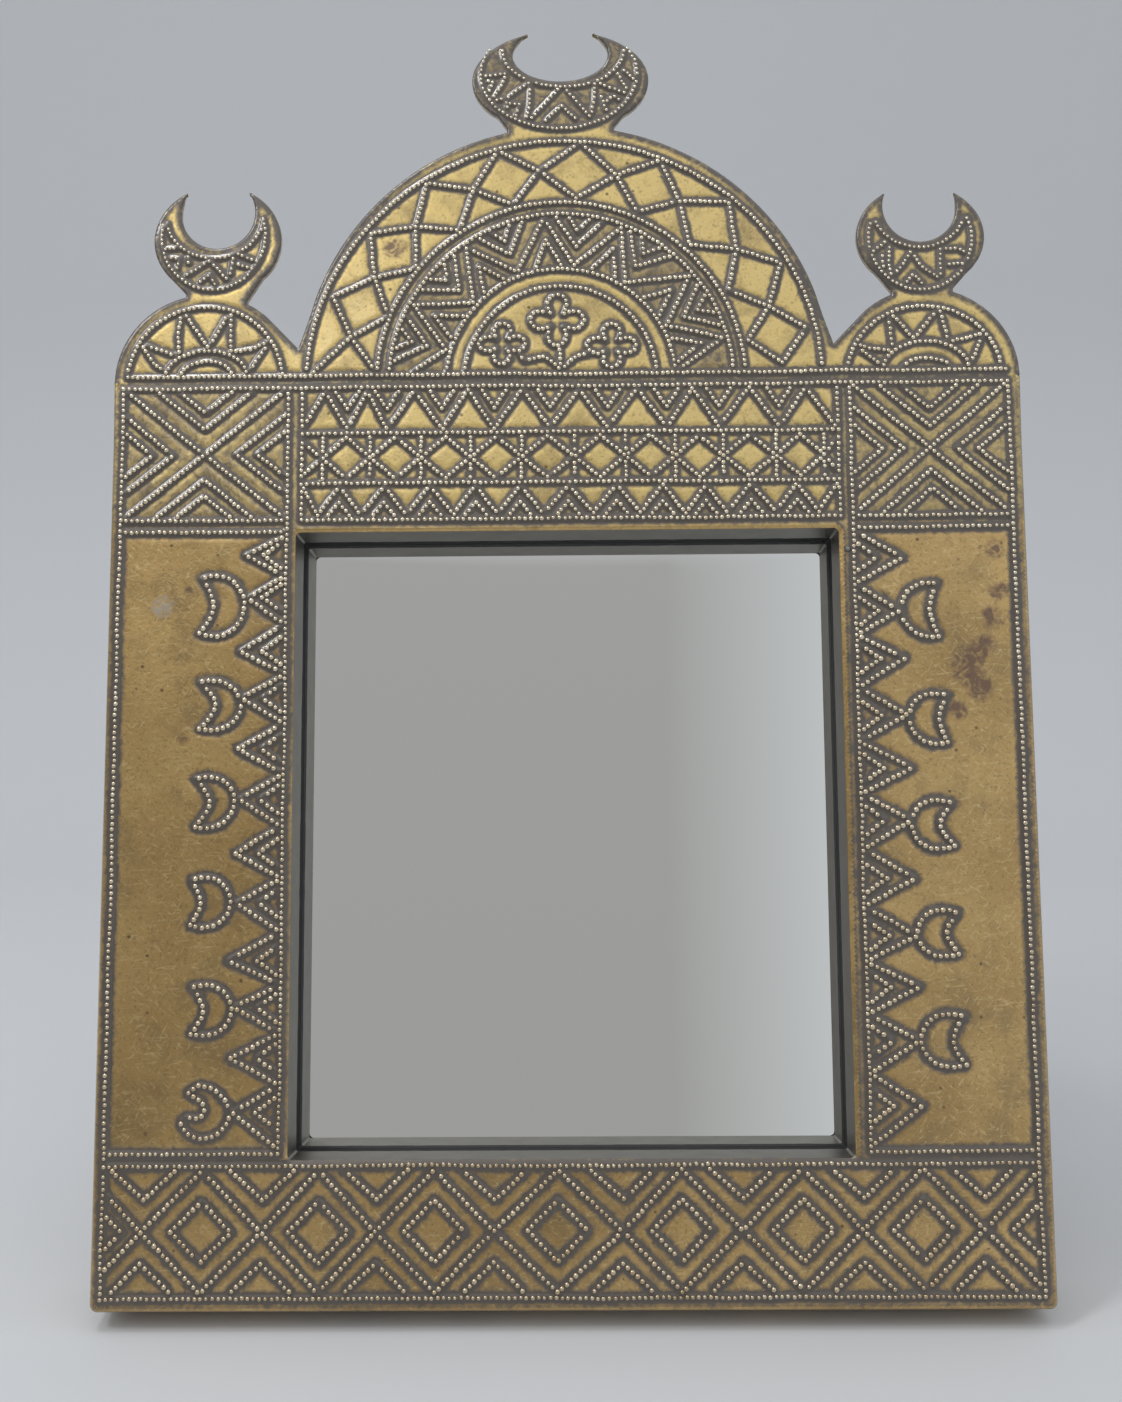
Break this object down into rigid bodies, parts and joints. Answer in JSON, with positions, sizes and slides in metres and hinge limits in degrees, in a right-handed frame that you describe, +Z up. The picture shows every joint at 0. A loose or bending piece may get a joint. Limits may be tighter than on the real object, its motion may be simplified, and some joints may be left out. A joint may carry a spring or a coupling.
{
  "type": "table mirror",
  "caption": "Free-standing table mirror: a wooden box frame wrapped in embossed brass, with a crest of crescents and a hinged strut behind.",
  "frame": {"origin": "on the table, in the middle of the edge that the back board stands on", "axes": "+X to the right and +Y away from someone looking into the mirror, +Z up"},
  "size_m": [0.4, 0.2077, 0.5504],
  "materials": {
    "brass_sheet": "embossed, worn, with dark patina in the grooves",
    "frame_wood": "raw, dark with age",
    "back_wood": "raw, dark with age",
    "tinned_liner": "dull bright",
    "mirror": "silvered glass",
    "card": "plain card",
    "steel": "plain"
  },
  "bodies": {
    "panel": {"back_board": "back_wood", "back_nail_1": "steel", "back_nail_10": "steel", "back_nail_2": "steel", "back_nail_3": "steel", "back_nail_4": "steel", "back_nail_5": "steel", "back_nail_6": "steel", "back_nail_7": "steel", "back_nail_8": "steel", "back_nail_9": "steel", "backing_card": "card", "bottom_rail": "frame_wood", "crest_board": "frame_wood", "crest_sheet": "brass_sheet", "face_sheet": "brass_sheet", "fixed_leaf": "steel", "fixed_leaf_screw_1": "steel", "fixed_leaf_screw_2": "steel", "front_nail": "steel", "hinge_pin": "steel", "left_stile": "frame_wood", "liner_bottom": "tinned_liner", "liner_left": "tinned_liner", "liner_right": "tinned_liner", "liner_top": "tinned_liner", "mirror_glass": "mirror", "right_stile": "frame_wood", "top_rail": "frame_wood"},
    "strut": {"strut": "back_wood", "moving_leaf": "steel", "moving_leaf_screw_1": "steel", "moving_leaf_screw_2": "steel"}
  },
  "joints": [
    {"name": "strut_fold", "type": "hinge", "parent": "panel", "child": "strut", "pos_m": [0, 0.08976, 0.3377], "axis": [-1, 0, 0], "range_deg": [0, 26]}
  ]
}
